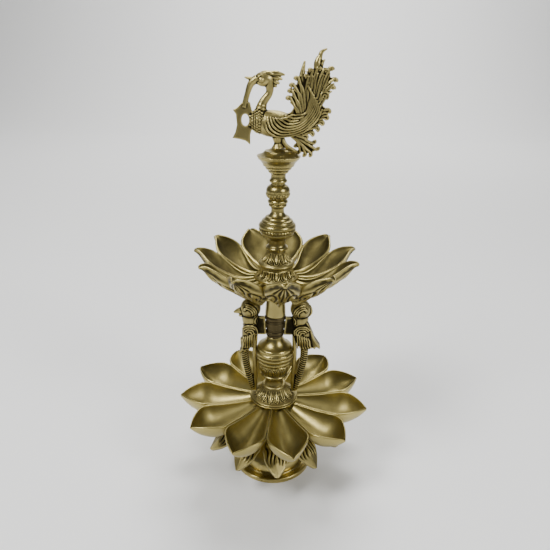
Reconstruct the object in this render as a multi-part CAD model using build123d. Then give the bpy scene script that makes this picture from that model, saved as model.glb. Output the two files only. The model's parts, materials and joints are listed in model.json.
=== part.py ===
from build123d import *
import os
from math import radians, tan

# A brass standing oil lamp in five modules that screw together on one upright axis: a base with
# a lotus of spoon petals, a lower stem with two bird brackets, a petalled bowl, an upper stem of
# turned and carved knops, and a bird finial. Millimetres, +Z up, origin at the centre of the
# foot's underside. The finial bird faces -X, and the brackets stand at -X and +X.

# ---- driving dimensions ----
COUNT = 11                  # petals round the lotus, petals round the bowl, leaves of the skirt
STEP = 360 / COUNT
WEDGE = tan(radians(16.1))  # half-width of a petal's root for each mm of radius, a hair inside its share

FOOT_R = 45.0
LOTUS_TOP = 86.0            # seat of the lower stem on the lotus plate
COLLAR_TOP = 193.0          # seat of the bowl's stem on the collar
BOWL_SEAT = 237.0           # seat of the upper stem on the bowl plate
FINIAL_SEAT = 341.0         # seat of the finial's cup on the upper stem
BIRD_SEAT = 375.8           # top of the finial's cup

LOTUS_PHASE = -78.8         # azimuth of the lotus petal nearest the front
BOWL_PHASE = -84.5
LEAF_PHASE = -86.0

SCREW_R = 5.0
FINIAL_SCREW_R = 4.0
RUNNING = 0.05              # radial clearance of a screw in the bore that it turns out of
ROD_R = 5.0


# ---- shared shapes ----
def turned(outline, bore=0.0):
    """A turned solid: (radius, height, bulge) from bottom to top, each bulge rounding the next run."""
    corners = [Vector(r, z) for r, z, _ in outline]
    edges = []
    for start, end, (_, _, bulge) in zip(corners, corners[1:], outline):
        if bulge:
            run = end - start
            outward = Vector(run.Y, -run.X).normalized()
            edges.append(ThreePointArc(start, (start + end) / 2 + outward * bulge, end))
        else:
            edges.append(Line(start, end))
    foot, head = Vector(bore, corners[0].Y), Vector(bore, corners[-1].Y)
    edges += [Line(corners[-1], head), Line(head, foot), Line(foot, corners[0])]
    return revolve(Plane.XZ * make_face(edges), Axis.Z)


def rod(radius, bottom, top):
    """An upright cylinder on the axis between two heights."""
    return Pos(0, 0, bottom) * Cylinder(radius, top - bottom, align=(Align.CENTER, Align.CENTER, Align.MIN))


def spoon_section(reach, half_width, rim, floor, under, wall):
    """One upright cross-section of a spoon petal: a round-bottomed trough with flat rims."""
    inner = half_width - min(wall, half_width / 2)
    inner_bend = floor + min(0.8 * inner, 0.7 * (rim - floor))
    outer = 0.93 * half_width
    outer_bend = under + min(0.8 * outer, 0.7 * (rim - under))
    with BuildLine(Plane(origin=(reach, 0, 0), x_dir=(0, 1, 0), z_dir=(1, 0, 0))) as path:
        Line((inner, rim), (half_width, rim))
        Line((half_width, rim), (outer, outer_bend))
        ThreePointArc((outer, outer_bend), (0, under), (-outer, outer_bend))
        Line((-outer, outer_bend), (-half_width, rim))
        Line((-half_width, rim), (-inner, rim))
        Line((-inner, rim), (-inner, inner_bend))
        ThreePointArc((-inner, inner_bend), (0, floor), (inner, inner_bend))
        Line((inner, inner_bend), (inner, rim))
    return make_face(path.line)


def spoon_petal(stations, wall):
    """A petal pointing along +X through (reach, half-width, rim, floor, underside) stations."""
    return loft([spoon_section(*station, wall) for station in stations], ruled=True)


def ball(centre, radii, lean=0.0):
    """An ellipsoid, leant about the Y axis."""
    return Pos(*centre) * Rot(0, lean, 0) * scale(Sphere(1), by=radii)


def tube_along(points, radii):
    """A limb in the XZ plane: a loft of discs square to a smooth line through the points."""
    spine = Spline(*[(x, 0, z) for x, z in points])
    discs = []
    for i, radius in enumerate(radii):
        t = i / (len(radii) - 1)
        discs.append(Plane(origin=spine @ t, z_dir=spine % t) * Circle(radius))
    return loft([disc.faces()[0] for disc in discs])


def plate(outline, thickness):
    """A flat plate in the XZ plane, centred on y = 0, through a closed outline of (x, z)."""
    face = make_face(Polyline(*[(x, z) for x, z in outline], close=True))
    return extrude(Plane.XZ * face, amount=thickness / 2, both=True)


def around(shape, azimuth):
    return Rot(0, 0, azimuth) * shape


# ---- base ----
def foot():
    """The cast foot: a lipped rim, a groove, a polished dome and a neck, hollow underneath."""
    outside = turned([
        (FOOT_R, 0, 0), (FOOT_R, 3, 0.7), (43.2, 4.8, 0), (40.2, 4.6, 0), (38.8, 2.8, 0), (37.2, 3.2, 0.5),
        (36.6, 5.2, 5.5), (18, 26, -1.5), (13, 34, 0), (13, 56, 0),
    ])
    hollow = turned([(38, 0, 0), (34, 6, 4), (17, 17, 0)])
    return outside - hollow - rod(SCREW_R, 0, 60)


def leaf_ring():
    """The collar that the skirt's leaves are brazed to, clamped between the foot and the lotus plate."""
    return turned([(15, 56, 0), (21.5, 58, 0), (21.5, 72, 0), (16, 74, 0)], SCREW_R)


def leaf():
    """A hanging leaf of the skirt: a folded blade with a middle ridge, pointing out and down."""
    stations = [
        (21.7, 5.1, 71.5, 2.5), (34, 8.3, 68.5, 3.2), (48, 11.0, 64, 4.2),
        (60, 12.0, 58, 4.6), (70, 7.6, 50.5, 3.8), (78, 2.2, 43.5, 1.2), (80, 0.8, 41.6, 0.4),
    ]
    thickness = 3.2
    sections = []
    for reach, half_width, ridge, fold in stations:
        depth = min(thickness, 2.2 * half_width)
        corners = [
            (-half_width, ridge - fold), (0, ridge), (half_width, ridge - fold),
            (half_width, ridge - fold - depth * 0.6), (0, ridge - depth), (-half_width, ridge - fold - depth * 0.6),
        ]
        plane = Plane(origin=(reach, 0, 0), x_dir=(0, 1, 0), z_dir=(1, 0, 0))
        sections.append(plane * make_face(Polyline(*corners, close=True)))
    return loft(sections)


def lotus_plate():
    """The hub that the lotus petals are brazed to, with the tapped boss for both base screws."""
    return turned([(14, 74, 0), (20, 76, 0), (23.8, 78, 0), (23.8, LOTUS_TOP, 0)], SCREW_R + RUNNING)


LOTUS_PETAL = [  # reach, half-width, rim, floor, underside
    (24, 24 * WEDGE, 86.6, 81.8, 77.5), (40, 40 * WEDGE, 87.2, 76.6, 73), (56, 56 * WEDGE, 88.4, 72.6, 69.5),
    (67, 19.2, 90, 70.3, 67.5), (77, 20.4, 91.4, 70.3, 67.6), (88, 17.6, 92.2, 73.1, 70.5),
    (98, 11.2, 91.6, 78.7, 76.2), (104.5, 5.0, 90.4, 84.6, 82.2), (107.8, 1.2, 89.2, 88.4, 87),
]


def base_bolt():
    """The bolt that clamps the base's three castings from below: a flat head, and a shank."""
    return rod(9.5, 4.5, 9.5) + rod(SCREW_R, 9.5, 74)


def base_washer():
    return rod(13, 9.5, 11.5) - rod(SCREW_R, 9, 12)


# ---- lower stem ----
def stem_flange():
    """The sloping carved flange, with a double ring round its edge."""
    body = turned([
        (23.4, LOTUS_TOP, 0), (23.4, 87.3, 0), (27.3, 87.3, 0.5), (27.3, 88.9, 0), (26.3, 89.1, 0.5),
        (26.1, 90.7, 0), (25.0, 91.0, -2.0), (13.5, 102.5, 0.6), (11.2, 105, 0),
    ], ROD_R)
    return body - rod(SCREW_R + RUNNING, 80, 96.5)


def urn():
    return turned([
        (11.2, 105, -0.6), (9.8, 112.5, 0), (11.5, 115.5, 0), (14.6, 116.6, 1.0), (14.6, 119.4, 0),
        (14.2, 120.4, 1.6), (17.6, 133, 0), (16.5, 134, 0),
    ], ROD_R)


def lower_cone():
    """A stepped cone, cast hollow: three rings at its foot and a spire with curved-in sides."""
    return turned([
        (16.5, 134, 0), (18.4, 134.3, 0.9), (19.9, 138.6, 0), (19.4, 139.4, 0.9), (21.4, 144, 0),
        (20.8, 145, 0.9), (21.2, 149.4, 0), (19.6, 150.6, 0.6), (18.6, 154.6, 0), (17.2, 155.4, -1.6),
        (8.8, 166.4, 0),
    ], ROD_R) - rod(14, 134, 150)


def collar():
    """The dark ringed collar: stacked rings, a plain band that carries the brackets, and the tapped head."""
    body = turned([
        (8.8, 166.4, 0), (9.4, 167.4, 0.5), (9.4, 169.6, 0), (10.0, 170, 0.5), (10.0, 173, 0),
        (9.2, 173.6, 0.4), (9.2, 176.6, 0), (10.8, 177.2, 0), (10.8, 184, 0), (10.0, 184.6, 0.4),
        (10.0, 187, 0), (11.2, 187.6, 0.6), (11.2, 191.6, 0), (10.6, COLLAR_TOP, 0),
    ])
    return body - rod(ROD_R, 160, 176) - rod(SCREW_R + RUNNING, 178, 194)


def stem_rod():
    """The rod inside the lower stem that its castings are threaded on."""
    return rod(ROD_R, 97, 176)


def bracket(body_reach, body_half, wing_outline):
    """A bird bracket along +X: web to the collar, body, turned head, wing, and a tail down to the flange."""
    web = Pos(19, 0, 178.5) * Box(18, 5, 22)
    body = ball((body_reach, 0, 171), (body_half, 8.5, 18), -6)
    head = ball((27.5, 0, 199.5), (11.5, 10, 12))
    neck = ball((27.5, 0, 187), (9.5, 7.5, 12))
    strip = tube_along([(22.5, 174), (22.0, 160), (22.8, 142), (21.5, 112), (22.6, 94)], (3.6, 2.6, 2.6, 2.6, 3.0))
    tail = tube_along([(33, 162), (33.6, 148), (33, 136), (30.5, 122), (23.4, 94)], (6.5, 4.8, 4.2, 4.2, 3.0))
    wing = plate(wing_outline, 11)
    joined = web + body + head + neck + strip + tail + wing
    for neighbour in (collar(), lower_cone(), urn(), stem_flange()):
        joined -= neighbour
    return joined


def bird_right():
    """The bracket whose wing tip stands out and whose beak tucks into its breast."""
    wing_outline = [
        (28, 186), (35.5, 185), (40, 176), (44.5, 164.5), (51.5, 154.4), (50.6, 151.8), (43, 152.2),
        (36, 151), (29, 154), (25, 165),
    ]
    beak = tube_along([(36, 203), (39.0, 196), (35.5, 189.5)], (3.0, 2.0, 0.9))
    return bracket(31, 10, wing_outline) + beak


def bird_left():
    """The bracket whose wing hangs straight and whose beak points out."""
    wing_outline = [
        (25, 184), (33, 184), (35.3, 176.6), (35.9, 162.4), (37, 150), (40, 147), (38.8, 144.8),
        (33, 147.5), (27, 152), (23.5, 161),
    ]
    beak = tube_along([(35, 197), (41, 195.5), (46.4, 193.6)], (4.6, 3.2, 0.9))
    return Rot(0, 0, 180) * (bracket(29, 8.2, wing_outline) + beak)


# ---- bowl ----
def bowl_stem():
    """The plain stem under the bowl, flaring up to carry its plate."""
    body = turned([
        (11.5, COLLAR_TOP, 0), (11.3, 196, 0), (10.8, 203, 0), (10.5, 213, -1.2), (17, 217.5, 0),
    ], ROD_R)
    return body - rod(SCREW_R + RUNNING, 190, 207)


def bowl_plate():
    """The hub that the bowl's petals are brazed to."""
    body = turned([(20, 217.5, 0), (23.8, 219, 0), (23.8, BOWL_SEAT, 0)])
    return body - rod(SCREW_R + RUNNING, 224, 240)


BOWL_PETAL = [  # the root is narrower than its share, which leaves slits between the petals by the hub
    (23.8, 5.6, 239.5, 229, 218.5), (33, 7.6, 242.6, 227, 220), (44, 12.4, 248, 230, 226),
    (54, 54 * WEDGE, 252.6, 235.6, 232.5), (64, 18.3, 256.6, 242.2, 239.5), (71, 15.6, 259.8, 248.6, 245.8),
    (78, 10.2, 263.2, 255.2, 252.3), (83.5, 5.4, 265.4, 261.4, 258.6), (87, 2.6, 266.4, 265.4, 262.8),
]


# ---- upper stem ----
def lower_bell():
    """The lower carved bell, standing on the bowl's plate."""
    body = turned([
        (23.2, BOWL_SEAT, 0), (23.2, 238.2, 0.3), (22.4, 239.4, -0.9), (17.2, 247.5, 0), (15.6, 250, 0),
    ], ROD_R)
    return body - rod(SCREW_R + RUNNING, 230, 249.5)


def upper_bell():
    return turned([
        (15.6, 250, 0), (17.8, 250.6, 0.5), (18.2, 252.2, 0), (18.8, 252.6, 0.6), (19, 255, 0),
        (17.8, 256.2, -1.4), (9.2, 266, 0), (8.7, 269.2, 0),
    ], ROD_R)


def top_cone():
    """A small bead and bell under a knurled rim, and the stepped cone above it."""
    return turned([
        (8.7, 269.2, 0), (10.6, 269.8, 1.1), (10.6, 273, 0), (9.6, 273.8, -0.5), (9.0, 278.2, -0.8),
        (12.8, 283.8, 0), (15.9, 285.2, 0.8), (17, 289.4, 0), (18.6, 290, 0.7), (18.6, 293, 0),
        (19, 293.4, 0.7), (18.4, 298, 0), (16.6, 299.2, 0.6), (15, 302.2, 0), (13.4, 302.8, 0.5),
        (11.8, 305.6, 0), (9.8, 306.2, -0.4), (6.8, 310.5, 0),
    ], ROD_R)


def neck_ring():
    return turned([
        (6.8, 310.5, -0.3), (7.2, 315.6, 0), (8.8, 316.4, 0.7), (8.8, 319, 0), (9.6, 319.6, 0.7),
        (9.6, 323.2, 0), (8.2, 324.3, 0),
    ], ROD_R)


def bulb():
    body = turned([
        (8.2, 324.3, 1.6), (12.1, 331.4, 1.4), (8.4, 338.6, 0), (7.2, 339.4, 0), (7.2, FINIAL_SEAT, 0),
    ], ROD_R)
    socket = rod(ROD_R, 330, FINIAL_SEAT) - rod(FINIAL_SCREW_R + RUNNING, 329, 342)
    return body + socket


def top_rod():
    """The rod inside the upper stem that its castings are threaded on."""
    return rod(ROD_R, 250, 330)


# ---- finial ----
def finial_cup():
    """The flared cup under the bird: a ringed neck, a trumpet and a shallow cone on top."""
    body = turned([
        (7.2, FINIAL_SEAT, 0), (8.6, 341.6, 0.6), (8.6, 344.4, 0), (7.8, 345.2, -0.3), (7.8, 350.4, 0),
        (9.6, 351.4, 0.5), (10.2, 354, 0), (12.1, 354.6, 0.6), (13.2, 357.4, 0), (15.6, 358.4, -0.6),
        (19.6, 364.4, 0), (20.6, 365.4, 0), (22.2, 368.5, -1.0), (14, 373.4, -0.6), (7.9, BIRD_SEAT, 0),
    ])
    return body - rod(FINIAL_SCREW_R + RUNNING, 340, 352) - rod(3.5, 364, 377)


def finial_bird():
    """The bird: body, curved neck, long beak holding a star pendant, fanned tail and a lower frond."""
    peg = rod(3.5, 364.5, 380)
    leg = tube_along([(-1, 375.6), (-1.2, 381), (-2, 390)], (7.4, 3.8, 6.5))
    claw = tube_along([(1.5, 386), (6, 378.5), (13, 373.6), (19, 371.2)], (2.6, 2.0, 2.0, 1.6))
    body = ball((-4, 0, 399), (25, 13.5, 13.5), 6)
    breast = ball((-21, 0, 402), (8.5, 10.5, 12.5))
    neck = tube_along([(-19, 408), (-16.5, 419), (-10.8, 429), (-11, 440)], (6.6, 4.0, 3.2, 4.4))
    head = ball((-15, 0, 441), (9.5, 5.5, 7))
    crest = plate([(-12, 447), (-1, 446.5), (5, 445), (1, 439), (-2.5, 435.5), (-9, 436)], 4)
    beak = tube_along([(-22, 442), (-28, 436), (-30.5, 426), (-33, 416)], (4.0, 3.2, 2.6, 2.6))
    nostril = tube_along([(-27, 440.5), (-30, 441.5), (-34.5, 442.4)], (2.4, 1.6, 0.7))
    star = plate([
        (-45.5, 412), (-37, 419), (-29, 419.5), (-26.5, 411), (-26.5, 396), (-28.5, 388), (-28.5, 378.5),
        (-38.5, 384), (-46, 385), (-41.5, 398), (-42.5, 408),
    ], 5)
    star_hole = Pos(-33, 0, 403) * Rot(90, 0, 0) * extrude(Ellipse(3.8, 6), amount=6, both=True)
    fan = plate([
        (4, 408), (11, 411.5), (14, 419), (15.5, 423), (7.5, 427.5), (10, 434), (11, 440), (17, 446),
        (20.5, 446), (20.5, 452), (23, 458), (26, 450.5), (31, 454.5), (35.5, 454), (34.5, 462), (37.5, 468.5),
        (44, 470), (41.5, 464), (42.5, 456.5), (48.5, 455.5), (46.5, 450), (49.5, 444), (54, 443.5), (52, 436),
        (46.5, 430), (46.5, 425.5), (42.5, 420), (49, 415.5), (45.5, 408), (39, 399), (24, 390), (8, 389),
    ], 8)
    wing = ball((10, 0, 401), (24, 10, 10), -14)
    frond = plate([
        (8, 392), (21, 390), (29, 383), (36.5, 381), (35, 376.5), (40, 373.5), (33, 371.5), (28, 368.5),
        (20.5, 370.6), (17.6, 373.5), (18, 378), (15.5, 384),
    ], 7)
    solid = body + breast + neck + head + crest + beak + nostril + star + fan + wing + frond + leg + claw
    seat = turned([(23, 360, 0), (23, 368.2, 0), (22.2, 368.5, -1.0), (14, 373.4, -0.6), (7.9, BIRD_SEAT, 0)])
    return (solid - star_hole - seat) + peg


# ---- the four screws ----
def screw(radius, bottom, top):
    return rod(radius, bottom, top)


def write(shape, node):
    solids = shape.solids()
    export_step(solids[0] if len(solids) == 1 else Compound(children=list(solids)), f"parts/{node}.step")


def main():
    os.makedirs("parts", exist_ok=True)
    pieces = {
        "foot": foot(), "leaf_ring": leaf_ring(), "lotus_plate": lotus_plate(), "base_bolt": base_bolt(),
        "base_washer": base_washer(), "stem_flange": stem_flange(), "urn": urn(), "lower_cone": lower_cone(),
        "collar": collar(), "stem_rod": stem_rod(), "bird_bracket_right": bird_right(),
        "bird_bracket_left": bird_left(), "bowl_stem": bowl_stem(), "bowl_plate": bowl_plate(),
        "lower_bell": lower_bell(), "upper_bell": upper_bell(), "top_cone": top_cone(), "neck_ring": neck_ring(),
        "bulb": bulb(), "top_rod": top_rod(), "finial_cup": finial_cup(), "finial_bird": finial_bird(),
        "stem_screw": screw(SCREW_R, 74.5, 96), "bowl_screw": screw(SCREW_R, 178.5, 206.5),
        "upper_stem_screw": screw(SCREW_R, 224.5, 249), "finial_screw": screw(FINIAL_SCREW_R, 330.5, 351.5),
    }
    lotus_petal, bowl_petal, skirt_leaf = spoon_petal(LOTUS_PETAL, 2.2), spoon_petal(BOWL_PETAL, 2.8), leaf()
    for k in range(COUNT):
        pieces[f"lotus_petal_{k + 1:02d}"] = around(lotus_petal, LOTUS_PHASE + k * STEP)
        pieces[f"bowl_petal_{k + 1:02d}"] = around(bowl_petal, BOWL_PHASE + k * STEP)
        pieces[f"skirt_leaf_{k + 1:02d}"] = around(skirt_leaf, LEAF_PHASE + k * STEP)
    for node, shape in pieces.items():
        write(shape, node)


main()
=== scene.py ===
import json
import math
import bmesh
import bpy
import numpy as np
from mathutils import Matrix, Vector


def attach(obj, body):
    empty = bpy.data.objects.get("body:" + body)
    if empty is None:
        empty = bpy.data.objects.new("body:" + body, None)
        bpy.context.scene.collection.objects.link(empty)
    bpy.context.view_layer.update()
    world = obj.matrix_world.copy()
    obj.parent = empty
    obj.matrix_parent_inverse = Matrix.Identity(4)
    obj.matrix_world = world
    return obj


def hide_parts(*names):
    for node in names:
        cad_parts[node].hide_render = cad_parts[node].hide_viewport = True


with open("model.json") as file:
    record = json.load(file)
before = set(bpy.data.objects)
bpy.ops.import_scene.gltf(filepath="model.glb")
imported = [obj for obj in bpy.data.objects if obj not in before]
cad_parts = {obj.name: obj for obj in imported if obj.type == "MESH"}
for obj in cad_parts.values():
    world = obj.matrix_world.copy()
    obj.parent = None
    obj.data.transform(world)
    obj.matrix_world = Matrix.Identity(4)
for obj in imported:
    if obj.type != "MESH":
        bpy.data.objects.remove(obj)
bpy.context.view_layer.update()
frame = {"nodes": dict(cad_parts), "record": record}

# The scene's own units are millimetres; add_mesh turns them into metres.
MM = 0.001
COUNT = 11
STEP = 360 / COUNT
LOTUS_PHASE, BOWL_PHASE, LEAF_PHASE = -78.8, -84.5, -86.0
rng = np.random.default_rng(11)


# ---- camera ----
SENSOR, LENS = 36, 34.57
SHIFT_X, SHIFT_Y = -0.0036, -0.0611
CAMERA_PLACE = (0, -0.5254, 0.4608)
CAMERA_PITCH, CAMERA_ROLL = 19.21, 1.22


def make_camera():
    camera = bpy.data.objects.new("camera", bpy.data.cameras.new("camera"))
    bpy.context.collection.objects.link(camera)
    camera.data.sensor_width = SENSOR
    camera.data.lens = LENS
    camera.data.shift_x = SHIFT_X
    camera.data.shift_y = SHIFT_Y
    camera.matrix_world = (Matrix.Translation(CAMERA_PLACE)
                           @ Matrix.Rotation(math.radians(90 - CAMERA_PITCH), 4, "X")
                           @ Matrix.Rotation(math.radians(CAMERA_ROLL), 4, "Z"))
    bpy.context.scene.camera = camera


make_camera()


# ---- mesh helpers ----
def add_mesh(name, points, faces):
    mesh = bpy.data.meshes.new(name)
    mesh.from_pydata((np.asarray(points, float) * MM).tolist(), [], faces)
    shell = bmesh.new()
    shell.from_mesh(mesh)
    bmesh.ops.recalc_face_normals(shell, faces=shell.faces)
    shell.to_mesh(mesh)
    shell.free()
    piece = bpy.data.objects.new(name, mesh)
    bpy.context.collection.objects.link(piece)
    for polygon in mesh.polygons:
        polygon.use_smooth = True
    return piece


def loop_faces(rows, columns, first=0, caps=True):
    """Faces of a skin over rows of closed rings, with a fan of one polygon at each end."""
    faces = []
    for i in range(rows - 1):
        for j in range(columns):
            a, b = first + i * columns + j, first + i * columns + (j + 1) % columns
            faces.append((a, b, b + columns, a + columns))
    if caps:
        faces.append(tuple(first + j for j in reversed(range(columns))))
        faces.append(tuple(first + (rows - 1) * columns + j for j in range(columns)))
    return faces


def smooth(t, xs, ys):
    """A smooth curve through (xs, ys): cubic between points, with finite-difference slopes."""
    xs, ys = np.asarray(xs, float), np.asarray(ys, float)
    slope = np.gradient(ys, xs)
    i = np.clip(np.searchsorted(xs, t) - 1, 0, len(xs) - 2)
    h = xs[i + 1] - xs[i]
    s = (t - xs[i]) / h
    return ((2 * s**3 - 3 * s**2 + 1) * ys[i] + (s**3 - 2 * s**2 + s) * h * slope[i]
            + (-2 * s**3 + 3 * s**2) * ys[i + 1] + (s**3 - s**2) * h * slope[i + 1])


def step_up(x, low, high):
    s = np.clip((x - low) / (high - low), 0, 1)
    return s * s * (3 - 2 * s)


def mark_recesses(piece, gain, spread=3, base=0.35, weight=1.0):
    """Stores how far each vertex lies in a hollow, 0 to 1, for the patina to gather in; the base added to it
    can also carry painted shade.
    """
    mesh = piece.data
    count = len(mesh.vertices)
    place, normal = np.empty(count * 3), np.empty(count * 3)
    mesh.vertices.foreach_get("co", place)
    mesh.vertices.foreach_get("normal", normal)
    place, normal = place.reshape(-1, 3) / MM, normal.reshape(-1, 3)
    ends = np.empty(len(mesh.edges) * 2, int)
    mesh.edges.foreach_get("vertices", ends)
    a, b = ends.reshape(-1, 2).T
    degree = np.maximum(np.bincount(a, minlength=count) + np.bincount(b, minlength=count), 1)

    def neighbours(values):
        total = np.bincount(a, values[b], count) + np.bincount(b, values[a], count)
        return total / degree

    wide = place.copy()
    for _ in range(spread):
        wide = np.stack([neighbours(wide[:, i]) for i in range(3)], 1)
    hollow = np.einsum("ij,ij->i", wide - place, normal) * gain
    for _ in range(2):
        hollow = 0.5 * hollow + 0.5 * neighbours(hollow)
    hollow = hollow * weight
    stored = mesh.attributes.new("recess", "FLOAT", "POINT")
    stored.data.foreach_set("value", np.clip(hollow + base, 0, 1).astype(np.float32))


# ---- materials ----
MOTTLE_SCALE, MOTTLE_DEPTH = 70, 0.45
WEAR_SCALE, WEAR_DEPTH = 190, 0.16
GRAIN_SCALE, GRAIN_HEIGHT = 900, 0.0004
PATINA_ROUGHNESS = 0.22
CLEAN, HALF_CLEAN, BLACKENED = 0.08, 0.42, 0.85


def brass(name, bright, dark, roughness, patina, grain):
    """Brass whose patina gathers where the recess attribute is high (and painted shade, where a piece's base
    carries it), mottled and finely scratched.
    """
    material = bpy.data.materials.new(name)
    material.use_nodes = True
    nodes, links = material.node_tree.nodes, material.node_tree.links
    nodes.clear()
    output = nodes.new("ShaderNodeOutputMaterial")
    shader = nodes.new("ShaderNodeBsdfPrincipled")
    shader.inputs["Metallic"].default_value = 1.0
    links.new(shader.outputs[0], output.inputs[0])
    place = nodes.new("ShaderNodeTexCoord")

    def noise(scale, detail):
        node = nodes.new("ShaderNodeTexNoise")
        node.inputs["Scale"].default_value = scale
        node.inputs["Detail"].default_value = detail
        links.new(place.outputs["Object"], node.inputs["Vector"])
        return node.outputs["Fac"]

    def maths(kind, first, second):
        node = nodes.new("ShaderNodeMath")
        node.operation = kind
        for socket, value in zip(node.inputs, (first, second)):
            if isinstance(value, (int, float)):
                socket.default_value = value
            else:
                links.new(value, socket)
        return node.outputs[0]

    def ramp(value, stops):
        node = nodes.new("ShaderNodeValToRGB")
        links.new(value, node.inputs[0])
        for element, (where, colour) in zip(node.color_ramp.elements, (stops[0], stops[-1])):
            element.position, element.color = where, (*colour, 1)
        for where, colour in stops[1:-1]:
            node.color_ramp.elements.new(where).color = (*colour, 1)
        return node.outputs[0]

    recess = nodes.new("ShaderNodeAttribute")
    recess.attribute_name = "recess"
    mottled = maths("ADD", maths("MULTIPLY", recess.outputs["Fac"], patina),
                    maths("MULTIPLY", maths("SUBTRACT", noise(MOTTLE_SCALE, 6), 0.5), MOTTLE_DEPTH))
    middle = tuple(0.62 * b + 0.38 * d for b, d in zip(bright, dark))
    tones = [(CLEAN, bright), (HALF_CLEAN, middle), (BLACKENED, dark)]
    links.new(ramp(mottled, tones), shader.inputs["Base Color"])
    rough = maths("ADD", maths("MULTIPLY", noise(WEAR_SCALE, 4), WEAR_DEPTH),
                  maths("MULTIPLY", mottled, PATINA_ROUGHNESS))
    links.new(maths("ADD", rough, roughness), shader.inputs["Roughness"])
    bump = nodes.new("ShaderNodeBump")
    bump.inputs["Strength"].default_value = grain
    bump.inputs["Distance"].default_value = GRAIN_HEIGHT
    links.new(noise(GRAIN_SCALE, 3), bump.inputs["Height"])
    links.new(bump.outputs[0], shader.inputs["Normal"])
    return material


OLIVE, SOOT = (0.34, 0.28, 0.10), (0.018, 0.015, 0.007)
MATERIALS = {  # colour on the ridges, colour in the recesses, roughness, how strongly the patina shows, grain
    "petal_brass": brass("petal_brass", (0.40, 0.332, 0.118), (0.045, 0.036, 0.012), 0.28, 0.9, 0.25),
    "polished_brass": brass("polished_brass", (0.44, 0.36, 0.135), (0.20, 0.155, 0.055), 0.22, 0.3, 0.2),
    "turned_brass": brass("turned_brass", (0.37, 0.305, 0.11), SOOT, 0.20, 0.85, 0.3),
    "carved_brass": brass("carved_brass", (0.41, 0.34, 0.13), SOOT, 0.27, 1.15, 0.5),
    "dark_brass": brass("dark_brass", (0.095, 0.075, 0.035), (0.012, 0.010, 0.008), 0.34, 0.9, 0.5),
    "plain_brass": brass("plain_brass", OLIVE, (0.12, 0.09, 0.03), 0.3, 0.5, 0.3),
}
SLOT_OF = {row["node"]: row["material_slot"] for row in frame["record"]["subparts"]}
BODY_OF = {node: body for body, nodes in frame["record"]["behaviour"]["bodies"].items() for node in nodes}


def stand_for(piece, node, gain, spread=3, base=0.35, weight=1.0):
    """Makes a detailed piece stand for its CAD node: same body, same slot, that slot's brass."""
    mark_recesses(piece, gain, spread, base, weight)
    piece.data.materials.append(MATERIALS[SLOT_OF[node]])
    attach(piece, BODY_OF[node])
    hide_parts(node)


# ---- turned pieces ----
CORNER_GAP = 0.02
OUTLINE_SPACING = 0.28
BORE = 5.05
PLAIN_COLUMNS, CARVED_COLUMNS = 160, 288


def outline_of(node):
    """The outside outline of a turned CAD node: its widest edge just below and just above each corner."""
    mesh = frame["nodes"][node].data
    place = np.empty(len(mesh.vertices) * 3)
    mesh.vertices.foreach_get("co", place)
    place = place.reshape(-1, 3) / MM
    ends = np.empty(len(mesh.edges) * 2, int)
    mesh.edges.foreach_get("vertices", ends)
    ends = ends.reshape(-1, 2)
    heights, radii = place[:, 2][ends], np.hypot(place[:, 0], place[:, 1])[ends]
    upright = np.ptp(heights, axis=1) > 1e-4
    heights, radii = heights[upright], radii[upright]
    low, high = heights.min(), heights.max()
    corners = np.unique(np.round(heights, 1))
    beside = np.concatenate([corners - CORNER_GAP, corners + CORNER_GAP])
    levels = np.unique(np.clip(beside, low + CORNER_GAP / 4, high - CORNER_GAP / 4))
    outline = []
    for level in levels:
        crossing = (heights.min(1) <= level) & (heights.max(1) >= level)
        (z0, z1), (r0, r1) = heights[crossing].T, radii[crossing].T
        outline.append((r0 + (r1 - r0) * (level - z0) / (z1 - z0)).max())
    levels[0], levels[-1] = low, high
    return levels, np.array(outline)


def tongues(angle, rise, count, drop, width=0.40, phase=0.0):
    """Carved relief of round-ended leaves standing side by side, each with an edge bead and a vein."""
    share = (angle * count / (2 * math.pi) + phase) % 1 - 0.5
    half = width * np.sqrt(np.clip(1 - np.clip((rise - 0.35) / 0.6, 0, 1) ** 2, 0, 1))
    edge = np.abs(share) - half
    bead = np.exp(-(edge / 0.055) ** 2)
    moat = np.exp(-((edge - 0.12) / 0.06) ** 2)
    inner_moat = np.exp(-((edge + 0.13) / 0.06) ** 2)
    vein = np.exp(-(share / 0.05) ** 2) * step_up(half, 0.1, 0.3)
    band = step_up(rise, 0.02, 0.08) * (1 - step_up(rise, 0.93, 1.0))
    return drop * band * (0.55 * bead - 1.0 * moat - 0.8 * inner_moat + 0.35 * vein)


RELIEF = {  # node: (lowest height, highest height, leaves, depth, share of the width, upside down)
    "stem_flange": (91.2, 101.5, 16, 1.1, 0.40, True),
    "lower_bell": (239.6, 248.5, 14, 1.4, 0.38, True),
    "upper_bell": (256.2, 266.5, 10, 1.5, 0.40, True),
    "bulb": (324.6, 330.5, 12, 0.7, 0.40, True),
    "urn": (120.6, 132.6, 12, 0.5, 0.42, False),
}
BEADING = {  # node: (lowest height, highest height, beads, depth)
    "top_cone": (289.9, 293.2, 34, 0.45),
    "upper_bell": (250.6, 252.3, 40, 0.25),
    "neck_ring": (319.6, 323.0, 22, 0.3),
}
# The foot isn't here: it is plain, so its CAD node shows.
TURNED = ("leaf_ring", "lotus_plate", "stem_flange", "urn", "lower_cone", "collar", "bowl_stem", "bowl_plate",
          "lower_bell", "upper_bell", "top_cone", "neck_ring", "bulb", "finial_cup")


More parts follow.
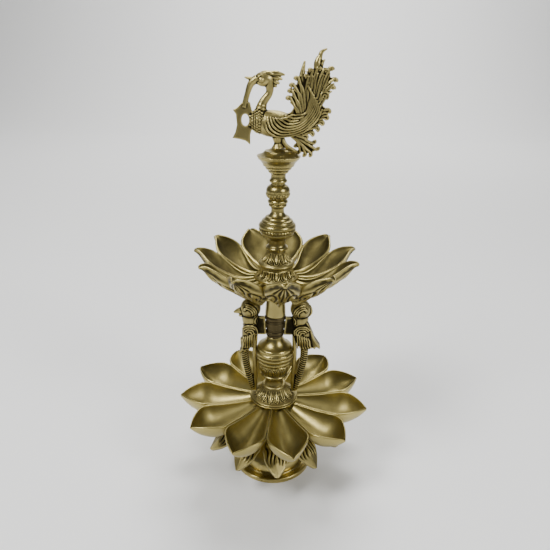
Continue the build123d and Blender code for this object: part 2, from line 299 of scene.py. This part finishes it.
def turned_piece(node):
    levels, radii = outline_of(node)
    travel = np.concatenate([[0], np.cumsum(np.hypot(np.diff(levels), np.diff(radii)))])
    stations = np.linspace(0, travel[-1], int(travel[-1] / OUTLINE_SPACING) + 2)
    heights, reach = np.interp(stations, travel, levels), np.interp(stations, travel, radii)
    rows = len(stations)
    for _ in range(2):
        reach[1:-1] = 0.25 * reach[:-2] + 0.5 * reach[1:-1] + 0.25 * reach[2:]
    columns = CARVED_COLUMNS if node in RELIEF or node in BEADING else PLAIN_COLUMNS
    angle = np.linspace(0, 2 * math.pi, columns, endpoint=False)[None, :]
    radius = np.repeat(reach[:, None], columns, 1)
    if node in RELIEF:
        low, high, count, depth, width, inverted = RELIEF[node]
        rise = (heights[:, None] - low) / (high - low)
        rise = 1 - rise if inverted else rise
        inside = (heights[:, None] > low) & (heights[:, None] < high)
        radius = radius + np.where(inside, tongues(angle, rise, count, depth, width), 0)
    if node in BEADING:
        low, high, count, depth = BEADING[node]
        bulge = np.sin(np.clip((heights[:, None] - low) / (high - low), 0, 1) * math.pi)
        radius = radius + depth * bulge * (np.abs(np.cos(angle * count / 2)) - 0.6)
    level = np.repeat(heights[:, None], columns, 1)
    points = np.stack([radius * np.cos(angle), radius * np.sin(angle), level], -1)
    points, faces = points.reshape(-1, 3), loop_faces(rows, columns, caps=False)
    first = len(points)
    ends = [(heights[0], range(columns)), (heights[-1], range((rows - 1) * columns, len(points)))]
    rings = []
    for z, _ in ends:
        rings.append(np.stack([BORE * np.cos(angle[0]), BORE * np.sin(angle[0]), np.full(columns, z)], -1))
    points = np.vstack([points, *rings])
    for k in range(columns):
        n = (k + 1) % columns
        last = (rows - 1) * columns
        faces.append((first + k, first + n, n, k))
        faces.append((last + k, last + n, first + columns + n, first + columns + k))
        faces.append((first + n, first + k, first + columns + k, first + columns + n))
    piece = add_mesh(f"{node}_turned", points, faces)
    stand_for(piece, node, 6.0, 4)


# ---- petals and leaves ----
LOTUS_PETAL = [  # reach, half-width, rim, floor, underside
    (24, 6.9, 86.6, 82.5, 77.5), (40, 11.5, 87.2, 77.4, 73), (56, 16.2, 88.4, 73.2, 69.5),
    (67, 19.4, 90, 70.6, 67.5), (77, 22.0, 91.4, 70.4, 67.6), (86, 20.4, 92.2, 72.4, 69.6),
    (94, 15.2, 92.0, 76.4, 73.8), (100.5, 9.6, 91.2, 81.2, 78.8), (105, 4.4, 90.2, 85.8, 83.6),
    (107.8, 0.9, 89.2, 88.2, 87),
]
BOWL_PETAL = [  # shallower than the lotus, with tips that flatten and turn down a little
    (23.8, 5.0, 238.0, 233, 218.5), (33, 6.9, 237.6, 231, 220), (44, 10.8, 241, 232.6, 226),
    (54, 15.4, 247, 237.6, 232.5), (64, 18.6, 254, 244.4, 239.5), (71, 16.6, 259.2, 250.4, 245.8),
    (77, 11.6, 263.2, 256.4, 252.2), (81.5, 7.2, 265.3, 260.8, 257.4), (85.5, 4.4, 265.9, 263.8, 261.2),
    (88.4, 1.6, 264.9, 264.3, 262.6),
]


def scrolls(along, across):
    """Carved relief, 0 to 1 deep: a spiral scroll each side of a middle vein, and ribs running to the tip."""
    side = np.abs(across)
    u, v = (along - 0.58) / 0.17, (side - 0.48) / 0.30
    far = np.hypot(u, v)
    spiral = np.cos(2 * math.pi * (1.25 * far - np.arctan2(v, u) / (2 * math.pi)))
    ribs = np.cos(2 * math.pi * (3.2 * side + 1.3 * along))
    near = np.exp(-(far / 1.5) ** 4)
    vein = np.exp(-((side - 0.09) / 0.045) ** 2)
    return 0.55 * (near * spiral + (1 - near) * ribs) - 0.8 * vein


def spoon(name, node, stations, wall, azimuth, carve):
    """A spoon petal: a round trough with a rounded rim, through the stations, and carved underneath."""
    table = np.array(stations).T
    reach = np.linspace(table[0][0], table[0][-1], 150 if carve else 90)
    half, rim, floor, under = (smooth(reach, table[0], row) for row in table[1:])
    lift, twist = rng.normal(0, 0.35), rng.normal(0, 0.012)
    along = (reach - reach[0]) / (reach[-1] - reach[0])
    inner_half = half - np.minimum(wall, half / 2)
    turn = np.linspace(-math.pi / 2, math.pi / 2, 31)
    inner_y = inner_half[:, None] * np.sin(turn)
    inner_z = rim[:, None] - (rim - floor)[:, None] * np.cos(turn) ** 1.3
    outer_turn = np.linspace(math.pi / 2, -math.pi / 2, 81 if carve else 27)
    outer_y = half[:, None] * np.sin(outer_turn)
    fullness = 0.8 if carve else 1.3
    outer_z = rim[:, None] - 0.5 - (rim - 0.5 - under)[:, None] * np.cos(outer_turn) ** fullness
    relief = carve * scrolls(along[:, None], np.sin(outer_turn)[None, :])
    fade = (step_up(along, 0.02, 0.10) * (1 - step_up(along, 0.80, 0.95)))[:, None]
    fade = fade * np.cos(outer_turn)[None, :] ** 0.5
    outer_z = outer_z + relief * fade
    crown_y = (inner_half + half)[:, None] / 2
    crown_z = (rim + 0.25)[:, None]
    y = np.hstack([inner_y, crown_y, outer_y, -crown_y])
    z = np.hstack([inner_z, crown_z, outer_z, crown_z])
    z = z + (lift * along**2)[:, None] + twist * y * along[:, None]
    x = np.repeat(reach[:, None], y.shape[1], 1)
    a = math.radians(azimuth)
    points = np.stack([x * math.cos(a) - y * math.sin(a), x * math.sin(a) + y * math.cos(a), z], -1)
    piece = add_mesh(name, points.reshape(-1, 3), loop_faces(len(reach), y.shape[1]))
    inside = np.tile(np.arange(y.shape[1]) < inner_y.shape[1], len(reach))
    if carve:
        stand_for(piece, node, 14.0, 4, np.where(inside, 0.70, 0.92), np.where(inside, 0.06, 1.0))
    else:
        stand_for(piece, node, 1.2, 4, 0.12)


LEAF = [  # reach, half-width, ridge height, fall from the ridge to the edge
    (21.7, 5.1, 71.5, 2.5), (34, 8.8, 68.5, 3.2), (48, 12.2, 64, 4.2), (60, 13.9, 58, 4.8),
    (70, 9.4, 50.5, 4.0), (78, 2.9, 43.5, 1.4), (80.4, 0.8, 41.4, 0.4),
]


def skirt_leaf(name, node, azimuth):
    """A folded hanging leaf, carved with S-curved ribs down to a smooth ridged tip."""
    table = np.array(LEAF).T
    reach = np.linspace(21.7, 80.4, 190)
    half, ridge, fall = (smooth(reach, table[0], row) for row in table[1:])
    along = (reach - reach[0]) / (reach[-1] - reach[0])
    across = np.linspace(-1, 1, 81)
    side = np.abs(across)[None, :]
    u, v = (along[:, None] - 0.42) / 0.13, (side - 0.55) / 0.33
    far = np.hypot(u, v)
    spiral = np.cos(2 * math.pi * (1.2 * far - np.arctan2(v, u) / (2 * math.pi)))
    sway = side + 0.16 * np.sin(along * 13)[:, None]
    ribs = np.cos(sway * 3.0 * 2 * math.pi)
    near = np.exp(-(far / 1.3) ** 4)
    carving = near * spiral + (1 - near) * ribs
    carved = (1 - step_up(along, 0.74, 0.86))[:, None] * (1 - side**8)
    scallop = 1 + 0.06 * np.sin(along * 26)[:, None] * (1 - step_up(along, 0.6, 0.75))[:, None]
    y = half[:, None] * across * scallop
    top = ridge[:, None] - fall[:, None] * side**0.8 + 0.85 * carving * carved
    below = ridge[:, None] - 3.0 * np.minimum(1, half / 3)[:, None] - fall[:, None] * side * 0.9
    below = np.minimum(below, top - 0.5)
    y = np.hstack([y, y[:, ::-1]])
    z = np.hstack([top, below[:, ::-1]])
    x = np.repeat(reach[:, None], y.shape[1], 1)
    a = math.radians(azimuth)
    points = np.stack([x * math.cos(a) - y * math.sin(a), x * math.sin(a) + y * math.cos(a), z], -1)
    piece = add_mesh(name, points.reshape(-1, 3), loop_faces(len(reach), y.shape[1]))
    stand_for(piece, node, 4.0, 4)


# ---- modelled figures: many overlapping limbs, fused into one casting ----
def limb(points, radii, flat=1.0, sides=14, steps=26):
    """A tapered limb through (x, y, z) points; flat squeezes it across the figure's plane."""
    points, radii = np.asarray(points, float), np.asarray(radii, float)
    along = np.linspace(0, 1, len(points))
    t = np.linspace(0, 1, steps)
    spine = np.stack([smooth(t, along, points[:, i]) for i in range(3)], 1)
    radius = np.interp(t, np.linspace(0, 1, len(radii)), radii)
    heading = np.gradient(spine, axis=0)
    heading /= np.linalg.norm(heading, axis=1)[:, None]
    across = np.tile([0.0, 1.0, 0.0], (steps, 1))
    across -= heading * np.einsum("ij,ij->i", across, heading)[:, None]
    across /= np.linalg.norm(across, axis=1)[:, None]
    up = np.cross(heading, across)
    turn = np.linspace(0, 2 * math.pi, sides, endpoint=False)
    ring = (across[:, None, :] * (np.cos(turn) * flat)[None, :, None]
            + up[:, None, :] * np.sin(turn)[None, :, None])
    skin = spine[:, None, :] + ring * radius[:, None, None]
    return skin.reshape(-1, 3), loop_faces(steps, sides)


def lump(centre, radii, lean=0.0, rows=24, sides=32):
    """An ellipsoid, leant in the figure's plane."""
    down = np.linspace(0.03, math.pi - 0.03, rows)[:, None]
    turn = np.linspace(0, 2 * math.pi, sides, endpoint=False)[None, :]
    x, y = np.sin(down) * np.cos(turn) * radii[0], np.sin(down) * np.sin(turn) * radii[1]
    z = np.cos(down) * radii[2] + 0 * turn
    c, s = math.cos(math.radians(lean)), math.sin(math.radians(lean))
    points = np.stack([centre[0] + x * c + z * s, centre[1] + y, centre[2] - x * s + z * c], -1)
    return points.reshape(-1, 3), loop_faces(rows, sides)


def drop_crumbs(mesh):
    """Keeps a mesh's largest connected shell and deletes the loose crumbs around it."""
    shell = bmesh.new()
    shell.from_mesh(mesh)
    left, shells = set(shell.verts), []
    while left:
        queue = [left.pop()]
        found = list(queue)
        while queue:
            vert = queue.pop()
            near = [edge.other_vert(vert) for edge in vert.link_edges]
            fresh = [other for other in near if other in left]
            left.difference_update(fresh)
            found += fresh
            queue += fresh
        shells.append(found)
    shells.sort(key=len)
    bmesh.ops.delete(shell, geom=[vert for crumb in shells[:-1] for vert in crumb], context="VERTS")
    shell.to_mesh(mesh)
    shell.free()


def cast(name, limbs, voxel):
    """Fuses limbs into one skin."""
    points, faces = [], []
    for skin, quads in limbs:
        first = sum(len(p) for p in points)
        points.append(skin)
        faces += [tuple(first + i for i in face) for face in quads]
    piece = add_mesh(name, np.vstack(points), faces)
    remesh = piece.modifiers.new("fuse", "REMESH")
    remesh.mode = "VOXEL"
    remesh.voxel_size = voxel * MM
    soften = piece.modifiers.new("soften", "SMOOTH")
    soften.factor, soften.iterations = 0.5, 2
    evaluated = piece.evaluated_get(bpy.context.evaluated_depsgraph_get())
    piece.data = bpy.data.meshes.new_from_object(evaluated)
    piece.modifiers.clear()
    drop_crumbs(piece.data)
    for polygon in piece.data.polygons:
        polygon.use_smooth = True
    return piece


def flat_limb(points, radii, y=0.0, flat=1.0):
    return limb([(x, y, z) for x, z in points], radii, flat)


def slab(outline, thickness, hole=None):
    """A flat plate in the figure's plane; a hole (centre, radii) turns it into a ring."""
    outline = np.asarray(outline, float)
    if hole is None:
        front = np.stack([outline[:, 0], np.full(len(outline), -thickness / 2), outline[:, 1]], 1)
        count = len(outline)
        return np.vstack([front, front * (1, -1, 1)]), loop_faces(2, count)
    (cx, cz), (rx, rz) = hole
    edges = zip(outline, np.roll(outline, -1, 0))
    dense = np.array([a + (b - a) * t for a, b in edges for t in np.linspace(0, 1, 12)[:-1]])
    heading = np.arctan2(dense[:, 1] - cz, dense[:, 0] - cx)
    inner = np.stack([cx + rx * np.cos(heading), cz + rz * np.sin(heading)], 1)
    rings = [(inner, -1), (dense, -1), (dense, 1), (inner, 1), (inner, -1)]
    skins = [np.stack([r[:, 0], np.full(len(r), side * thickness / 2), r[:, 1]], 1) for r, side in rings]
    return np.vstack(skins), loop_faces(len(rings), len(dense), caps=False)


def frond(start, middle, tip, size, hook, y=0.0):
    """One frond of the tail: a ribbed stem whose end curls over on itself."""
    start, middle, tip = (np.asarray(p, float) for p in (start, middle, tip))
    heading = (tip - middle) / np.linalg.norm(tip - middle)
    aside = np.array([-heading[1], heading[0]]) * hook
    centre = tip - heading * size * 0.4 + aside * size
    coil = []
    for turn in np.linspace(0, 0.9 * math.pi, 6)[1:]:
        coil.append(centre + (heading * math.sin(turn) - aside * math.cos(turn)) * size * (1 - 0.12 * turn))
    base = tip - heading * size * 0.4
    path = [start, middle, base] + coil
    return [flat_limb(path, (size * 0.55, size * 0.62, size * 0.6, size * 0.55, size * 0.4), y, 1.4),
            lump((centre[0], y, centre[1]), (size * 0.5, size * 0.7, size * 0.5))]


def arc_ridge(centre, radius, first, last, side, depth, thick=0.9):
    """A raised line on the figure's side, along part of a circle."""
    path = []
    for turn in np.linspace(math.radians(first), math.radians(last), 9):
        x, z = centre[0] + radius * math.cos(turn), centre[1] + radius * math.sin(turn)
        path.append((x, side * depth(x, z), z))
    return limb(path, (thick * 0.7, thick, thick, thick * 0.7), steps=30)


FRONDS = [  # start, middle, tip and which way each frond curls, from the left round to the right
    ((21, 400), (15.5, 414), (9.6, 425), 1), ((21, 403), (16.5, 420), (11.2, 431.5), 1),
    ((22, 406), (18, 427), (12.6, 437), 1), ((23, 410), (20, 433), (17.0, 443), 1),
    ((26, 408), (24.5, 430), (26.6, 444), 1), ((27, 410), (27.5, 436), (30.2, 449.5), 1),
    ((29, 412), (31, 438), (34.8, 452), -1), ((31, 414), (36, 438), (40.5, 451), -1),
    ((32, 414), (40, 436), (46.4, 452.5), -1), ((33, 414), (42, 434), (51.0, 443.0), -1),
    ((34, 412), (42.5, 428), (49.0, 436), -1), ((33, 405), (40, 412), (46.8, 414.6), -1),
    ((31, 401), (39, 407), (45.4, 408.6), -1), ((28, 398), (36, 402), (41.4, 403.2), -1),
    ((25, 395), (32, 397.5), (37.6, 397.2), -1), ((20, 391.5), (27, 392.6), (32.6, 392.6), -1),
    ((14, 390), (20, 388.8), (26.4, 389.8), -1),
]
FAN = [  # outline, (x, z)
    (4, 408), (11, 411), (14.5, 417), (10.8, 425), (13, 428), (12.4, 433), (15.6, 437), (17, 443),
    (21, 447), (26, 446), (31, 450), (36, 452), (40, 450), (46.6, 451), (47, 445), (50.5, 442), (47, 436),
    (46, 430), (44.5, 424), (41, 418), (46, 414), (44, 408), (40, 402.5), (36, 397), (31, 393), (24, 390),
    (8, 389),
]
LOWER_FAN = [  # outline, (x, z)
    (9, 395), (20, 389.5), (29, 383), (34, 381), (33, 377.6), (37, 375), (32.5, 372), (27, 371.4),
    (21, 373), (18.4, 379), (13, 388),
]
SPIKES = [  # tall plain leaf blades of the tail
    ((21.6, 428), (20.4, 444), (22.6, 458.2), 3.0), ((36.0, 436), (34.6, 456), (38.0, 465.5), 3.6),
    ((37.0, 452), (37.4, 465), (43.2, 469.6), 2.2), ((38.0, 450), (38.6, 456), (41.6, 460.0), 2.2),
    ((26, 436), (27, 446), (24.6, 449), 2.0),
]
STAR = [  # outline, (x, z)
    (-45.5, 412), (-41.5, 414), (-36.5, 419), (-29, 419.5), (-26.8, 411), (-26.5, 396), (-28.5, 388),
    (-28.5, 378.8), (-33, 382.5), (-38.5, 384), (-46, 385), (-43, 391), (-41.5, 398), (-42.5, 408),
]


def wing_depth(x, z):
    """How far the bird's side stands out from its middle plane."""
    body = 1 - ((x + 3) / 28) ** 2 - ((z - 399) / 14) ** 2
    return max(12.3 * math.sqrt(max(body, 0)), 4.4)


def finial_limbs():
    """The finial bird: body, scaled breast, neck, head, beak, star pendant, wing grooves and fronds."""
    limbs = [
        lump((-5, 0, 399.3), (24, 12.0, 13.2), 6), lump((-20.5, 0, 402), (8.2, 9.8, 12.2)),
        lump((14, 0, 400.5), (19, 7.6, 8.6), -20), slab(FAN, 5.0), slab(LOWER_FAN, 3.6),
        slab(STAR, 4.6, ((-33.4, 402.6), (3.7, 5.8))),
        flat_limb([(-19, 408), (-16.5, 419), (-10.2, 429), (-11, 440)], (6.6, 4.4, 3.5, 4.8)),
        lump((-15.5, 0, 441), (9.4, 5.8, 7.0)), lump((-12, 0, 446.2), (7.4, 3.8, 2.8), 4),
        flat_limb([(-22, 441.5), (-28, 436.5), (-31.5, 427), (-34.5, 415)], (4.2, 3.4, 2.7, 2.9), 0, 1.1),
        flat_limb([(-26, 440.5), (-30, 441.5), (-34.4, 442.4)], (2.5, 1.7, 0.7)),
        flat_limb([(-10, 445), (-3, 446.2), (4.4, 445.2)], (3.8, 2.8, 0.9), 0, 0.8),
        flat_limb([(-10, 442), (-3, 442.6), (2.0, 441)], (3.8, 2.6, 1.0), 0, 0.8),
        flat_limb([(-9, 440), (-4, 438.6), (-0.6, 437)], (3.4, 2.4, 1.0), 0, 0.8),
        flat_limb([(-9, 438), (-6, 436), (-3.4, 434)], (2.6, 2.0, 1.0), 0, 0.8),
        flat_limb([(-1, 375.9), (-1.2, 381), (-2, 390)], (6.8, 3.8, 6.4)),
        flat_limb([(1.5, 388), (6, 379.4), (13, 374.4), (19.5, 371.8)], (3.0, 2.4, 2.2, 1.6)),
    ]
    for side in (-1, 1):
        limbs.append(lump((-18.0, side * 5.2, 440.5), (2.7, 1.5, 2.4)))
        limbs.append(lump((-18.0, side * 6.3, 440.5), (1.2, 0.9, 1.1)))
        limbs.append(arc_ridge((-18.0, 440.5), 4.0, 20, 190, side, lambda x, z: 4.4, 0.7))
    for i, z in enumerate((411, 414, 417)):
        limbs.append(lump((-18.6 + i * 0.7, 0, z), (6.6 - i * 0.8, 6.8 - i * 0.8, 1.3), 15))
    for row, x in enumerate(np.arange(-28.5, -13, 2.3)):
        for z in np.arange(390.5 + 1.3 * (row % 2), 413, 2.6):
            depth = 1 - ((x + 20.5) / 8.8) ** 2 - ((z - 402) / 12.6) ** 2
            if depth > 0.03:
                for side in (-1, 1):
                    scale = (x, side * 9.9 * math.sqrt(depth), z)
                    limbs.append(lump(scale, (1.25, 1.0, 1.25), rows=8, sides=8))
    for side in (-1, 1):
        for i in range(9):  # wing: long nested feathers sweeping from the shoulder down and up into the tail
            path = [(-13.5 + 2.3 * i, 408 - 0.4 * i), (-12.5 + 3.0 * i, 396 + 1.6 * i),
                    (-3 + 2.4 * i, 388.3 + 2.5 * i), (12 + 1.6 * i, 388.8 + 2.7 * i),
                    (26 + 0.2 * i, 394 + 3.0 * i), (36 - 0.8 * i, 404 + 3.0 * i),
                    (41 - 1.8 * i, 415 + 2.6 * i)]
            limbs.append(limb([(x, side * (wing_depth(x, z) + 0.3), z) for x, z in path],
                              (0.6, 0.95, 0.95, 0.9, 0.85, 0.85, 0.7), steps=48))
        for i in range(6):
            covert = (-9 + 3.0 * i, side * 5.2, 409.4 - 0.3 * i)
            limbs.append(lump(covert, (1.7, 2.2, 1.3), rows=10, sides=12))
        for radius in (1.6, 3.8):
            limbs.append(arc_ridge((42.6, 426.6), radius, -60, 250, side, lambda x, z: 3.6, 1.0))
        for start, middle, tip, hook in FRONDS:
            limbs += frond(start, middle, tip, 2.5, hook, side * 2.0)
            rib = [(p[0] + 1.9, p[1] - 1.2) for p in (start, middle)] + [(tip[0] + 0.3, tip[1] - 4.5)]
            limbs.append(flat_limb(rib, (0.9, 1.0, 0.7), side * 3.4))
    for start, middle, tip, size in SPIKES:
        limbs.append(flat_limb([start, middle, tip], (size * 0.8, size, size * 0.35), 0, 1.0))
    lower = [((9, 393), (22, 386), (34.2, 381.0), 1), ((9, 391), (24, 383), (37.6, 374.6), 1),
             ((8, 391), (22, 380), (32.6, 371.0), -1), ((8, 392), (20, 383), (27.0, 370.4), -1),
             ((9, 393), (18, 385), (21.0, 372.4), -1), ((10, 394), (17, 387), (18.4, 379.0), -1)]
    for start, middle, tip, hook in lower:
        limbs += frond(start, middle, tip, 2.3, hook, 0.0)
        limbs.append(flat_limb([start, middle, tip], (1.3, 1.5, 1.0), -2.3))
        limbs.append(flat_limb([start, middle, tip], (1.3, 1.5, 1.0), 2.3))
    return limbs


RIGHT_WING = [  # outline, (x, z)
    (28, 186), (35.5, 185), (40, 176), (44.5, 164.5), (51.2, 154.6), (50.6, 152.2), (46.5, 154.6),
    (45, 151.8), (41, 154.4), (39, 151.4), (35.5, 153.6), (33, 151), (29, 154), (25, 165),
]
LEFT_WING = [  # outline, (x, z)
    (25, 184), (33, 184), (35.3, 176.6), (35.9, 162.4), (37, 150.6), (39.8, 147), (38.6, 145.2),
    (35.6, 148.4), (33.6, 146.6), (31.4, 150), (29, 149), (27, 153), (23.5, 161),
]


WEB = [(9.8, 168), (28, 168), (28, 189.4), (11.4, 189.4)]
STRUT = [(22.5, 174), (22.0, 160), (22.8, 142), (21.5, 112), (22.6, 94.6)]
TAIL = [(33, 162), (33.6, 148), (33, 136), (30.5, 122), (23.6, 95)]


def bracket_limbs(body_reach, body_half, wing, spread, beak):
    """A bird bracket along +X: web, ringed tail, feathered body and wing, and a round-crowned head."""
    def side_of(x, z):
        body = 1 - ((x - body_reach) / (body_half + 1.5)) ** 2 - ((z - 171) / 19.5) ** 2
        return max(8.4 * math.sqrt(max(body, 0)), 5.4)

    def head_side(x, z):
        return 9.7 * math.sqrt(max(1 - ((x - 27.5) / 11.6) ** 2 - ((z - 199.5) / 12.1) ** 2, 0.02))

    def web_side(x, z):
        return 5.8 if x > 20 else 2.6

    limbs = [
        lump((body_reach, 0, 171), (body_half, 8.3, 18), -6), lump((27.5, 0, 199.5), (11.3, 9.6, 11.9)),
        lump((27.5, 0, 187), (9.4, 7.4, 12)), slab(wing, 10.4),
        slab(WEB, 4.8), flat_limb(STRUT, (3.6, 2.5, 2.5, 2.5, 2.8)),
        flat_limb(TAIL, (6.2, 4.6, 4.0, 3.9, 2.8)),
    ] + beak
    for z in np.arange(98, 156, 2.7):
        x = float(smooth(z, [95, 108, 122, 136, 148, 162], [23.6, 27.2, 30.5, 33, 33.6, 33]))
        girth = float(np.interp(z, [95, 112, 130, 160], [3.2, 4.3, 4.7, 5.4]))
        limbs.append(lump((x, 0, z), (girth, girth, 0.75), 22))
    for side in (-1, 1):
        for radius in (2.2, 4.6, 7.0, 9.0):
            limbs.append(arc_ridge((body_reach - 0.5, 172), radius, 25, 200, side, side_of, 0.95))
        for i in range(6):
            x = body_reach - 6 + i * 2.3
            path = [(x, 172 - i), (x + 0.4 + 0.25 * i * spread, 163),
                    (x + (0.5 + 0.42 * i) * spread, 156 + 0.2 * i),
                    (x + (1.0 + 0.75 * i) * spread, 152.4 + 0.2 * i * spread)]
            limbs.append(limb([(x, side * (side_of(x, z) + 0.1), z) for x, z in path], (0.8, 1.1, 1.05, 0.7)))
        for radius in (6.4, 8.6, 10.6):
            limbs.append(arc_ridge((31, 196), radius, 80, 200, side, head_side, 0.8))
        limbs.append(lump((33.2, side * 7.4, 201), (2.0, 1.6, 2.0)))
        limbs.append(lump((33.2, side * 8.6, 201), (0.9, 0.8, 0.9)))
        for i in range(4):
            limbs.append(arc_ridge((17, 186), 5.5 + 2.4 * i, -35, 62, side, web_side, 0.9))
    return limbs


def place_limbs(limbs, azimuth):
    a = math.radians(azimuth)
    spin = np.array([[math.cos(a), math.sin(a), 0], [-math.sin(a), math.cos(a), 0], [0, 0, 1]])
    return [(skin @ spin, quads) for skin, quads in limbs]


def patina_and_collar_shadow(piece):
    """Patina on a bracket, even, plus painted shadow: darker on the web beside the dark collar."""
    place = np.empty(len(piece.data.vertices) * 3)
    piece.data.vertices.foreach_get("co", place)
    x, y, z = place.reshape(-1, 3).T / MM
    # 0.58 is even patina; the extra 0.14 near the collar, above height 150, is painted shadow of the collar
    # on the web.
    return 0.58 + 0.14 * (1 - step_up(np.hypot(x, y), 20, 26)) * step_up(z, 150, 165)


def make_figures():
    stand_for(cast("finial_bird_cast", finial_limbs(), 0.5), "finial_bird", 8.0, 4)
    tucked = [flat_limb([(36, 203), (38.8, 196), (35.5, 189.5)], (3.4, 2.4, 1.2))]
    pointed = [flat_limb([(33, 197.5), (41, 195.6), (46.2, 193.8)], (5.6, 3.2, 0.9)),
               flat_limb([(34, 193), (38.5, 190.6), (40.5, 189.4)], (3.4, 2.2, 0.9))]
    right = bracket_limbs(31, 9.8, RIGHT_WING, 1.0, tucked)
    left = bracket_limbs(29, 8.0, LEFT_WING, 0.25, pointed)
    for name, node, limbs in (("bird_right_cast", "bird_bracket_right", right),
                              ("bird_left_cast", "bird_bracket_left", place_limbs(left, 180))):
        piece = cast(name, limbs, 0.55)
        # the base is even patina plus a painted shadow of the collar on the web
        stand_for(piece, node, 9.0, 4, patina_and_collar_shadow(piece))


# ---- floor and light ----
def make_stage():
    """A pale floor that sweeps up into a backdrop far behind the lamp."""
    width, front, back, rise = 5000, -3500, 2600, 1500
    arc = [(back + rise * math.sin(t), rise * (1 - math.cos(t))) for t in np.linspace(0, math.pi / 2, 24)]
    profile = [(front, 0)] + arc + [(back + rise, 6000)]
    points = [(side * width, y, z) for y, z in profile for side in (-1, 1)]
    faces = [(2 * i, 2 * i + 1, 2 * i + 3, 2 * i + 2) for i in range(len(profile) - 1)]
    floor = add_mesh("floor", points, faces)
    pale = bpy.data.materials.new("pale_floor")
    pale.use_nodes = True
    pale.node_tree.nodes["Principled BSDF"].inputs["Base Color"].default_value = (0.88, 0.88, 0.87, 1)
    pale.node_tree.nodes["Principled BSDF"].inputs["Roughness"].default_value = 0.95
    floor.data.materials.append(pale)


WORLD_COLOUR, WORLD_LIGHT, WORLD_SEEN = (0.80, 0.82, 0.80, 1), 0.10, 0.75
LAMP_MIDDLE, BACKDROP = (0, 0, 0.2), (0, 3.2, 0.6)
SOFTBOXES = {  # place and size in metres, power in watts, what it is aimed at
    "key": ((-0.9, -0.7, 1.5), (0.5, 0.5), 26, LAMP_MIDDLE),
    "fill": ((1.1, -0.8, 1.0), (0.3, 0.6), 12, LAMP_MIDDLE),
    "top": ((0.1, 0.35, 1.7), (0.6, 0.3), 14, LAMP_MIDDLE),
    "back": ((0.3, 2.2, 2.6), (2.5, 1.5), 120, BACKDROP),
}


def softbox(name, place, size, power, aim):
    light = bpy.data.objects.new(name, bpy.data.lights.new(name, "AREA"))
    bpy.context.collection.objects.link(light)
    light.data.shape = "RECTANGLE"
    light.data.size, light.data.size_y = size
    light.data.energy = power
    light.location = place
    light.rotation_euler = (Vector(aim) - Vector(place)).to_track_quat("-Z", "Y").to_euler()


def pale_backdrop(tree):
    """Makes the world look pale past the floor's edge, though it lights the lamp only faintly."""
    seen = tree.nodes.new("ShaderNodeBackground")
    seen.inputs[0].default_value = WORLD_COLOUR
    seen.inputs[1].default_value = WORLD_SEEN
    path = tree.nodes.new("ShaderNodeLightPath")
    mix = tree.nodes.new("ShaderNodeMixShader")
    tree.links.new(path.outputs["Is Camera Ray"], mix.inputs[0])
    tree.links.new(tree.nodes["Background"].outputs[0], mix.inputs[1])
    tree.links.new(seen.outputs[0], mix.inputs[2])
    tree.links.new(mix.outputs[0], tree.nodes["World Output"].inputs["Surface"])


def make_light():
    world = bpy.context.scene.world or bpy.data.worlds.new("world")
    bpy.context.scene.world = world
    world.use_nodes = True
    world.node_tree.nodes["Background"].inputs[0].default_value = WORLD_COLOUR
    world.node_tree.nodes["Background"].inputs[1].default_value = WORLD_LIGHT
    pale_backdrop(world.node_tree)
    for name, light in SOFTBOXES.items():
        softbox(name, *light)


# ---- the lamp ----
LOTUS_WALL, BOWL_WALL, BOWL_CARVING = 1.8, 3.0, 2.3

for turned_node in TURNED:
    turned_piece(turned_node)
for k in range(COUNT):
    number = f"{k + 1:02d}"
    turn = k * STEP
    spoon(f"lotus_spoon_{number}", f"lotus_petal_{number}", LOTUS_PETAL, LOTUS_WALL, LOTUS_PHASE + turn, 0.0)
    spoon(f"bowl_spoon_{number}", f"bowl_petal_{number}", BOWL_PETAL, BOWL_WALL, BOWL_PHASE + turn,
          BOWL_CARVING)
    skirt_leaf(f"carved_leaf_{number}", f"skirt_leaf_{number}", LEAF_PHASE + turn)
make_figures()
for node, carried in frame["nodes"].items():
    carried.data.materials.clear()
    carried.data.materials.append(MATERIALS[SLOT_OF[node]])
make_stage()
make_light()
